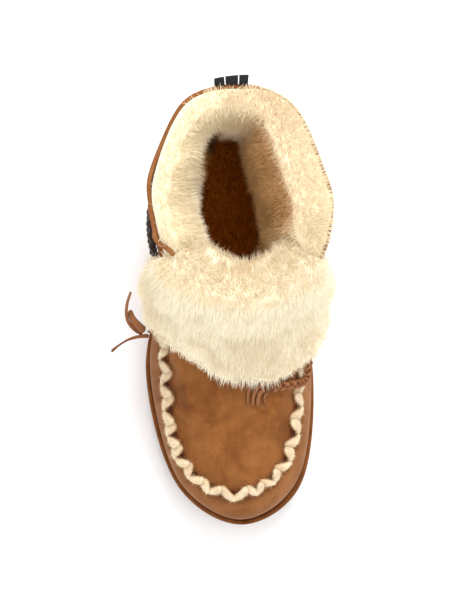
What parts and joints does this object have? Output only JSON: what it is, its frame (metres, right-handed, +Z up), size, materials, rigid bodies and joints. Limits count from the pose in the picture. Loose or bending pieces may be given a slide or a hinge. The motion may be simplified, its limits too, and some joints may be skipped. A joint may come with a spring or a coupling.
{
  "type": "ankle boot",
  "caption": "Moccasin ankle boot with a stitched apron toe, deep fleece lining, a fold-over fleece cuff, tasselled laces and a flat rubber sole.",
  "frame": {"origin": "on the ground under the middle of the heel, 38 mm ahead of the back of the sole", "axes": "+Z up, the toe towards -Y and the heel towards +Y, +X towards the inner side of the foot"},
  "size_m": [0.1345, 0.262, 0.1536],
  "materials": {
    "sole_rubber": "matt brown moulded rubber, smooth edge with a paler top line",
    "insole_pile": "short brown pile",
    "wall_suede": "short napped chestnut suede, evenly brushed",
    "apron_suede": "chestnut suede with a mottled nap",
    "shaft_suede": "chestnut suede with a cut edge, lined with deep cream fleece",
    "fleece": "deep cream shearling",
    "webbing": "black woven tape with two thin white lines",
    "crochet": "dark brown crocheted wool",
    "lace_suede": "narrow suede strips, braided, with cut ends"
  },
  "bodies": {
    "root": {"outsole": "sole_rubber", "insole": "insole_pile", "upper": "wall_suede", "apron": "apron_suede", "shaft": "shaft_suede", "cuff": "fleece", "heel_tab": "webbing", "ankle_braid": "crochet", "lace_inner": "lace_suede", "lace_outer": "lace_suede", "tassel_inner_1": "lace_suede", "tassel_inner_2": "lace_suede", "tassel_inner_3": "lace_suede", "tassel_inner_4": "lace_suede", "tassel_outer_1": "lace_suede", "tassel_outer_2": "lace_suede", "tassel_outer_3": "lace_suede"}
  },
  "joints": []
}
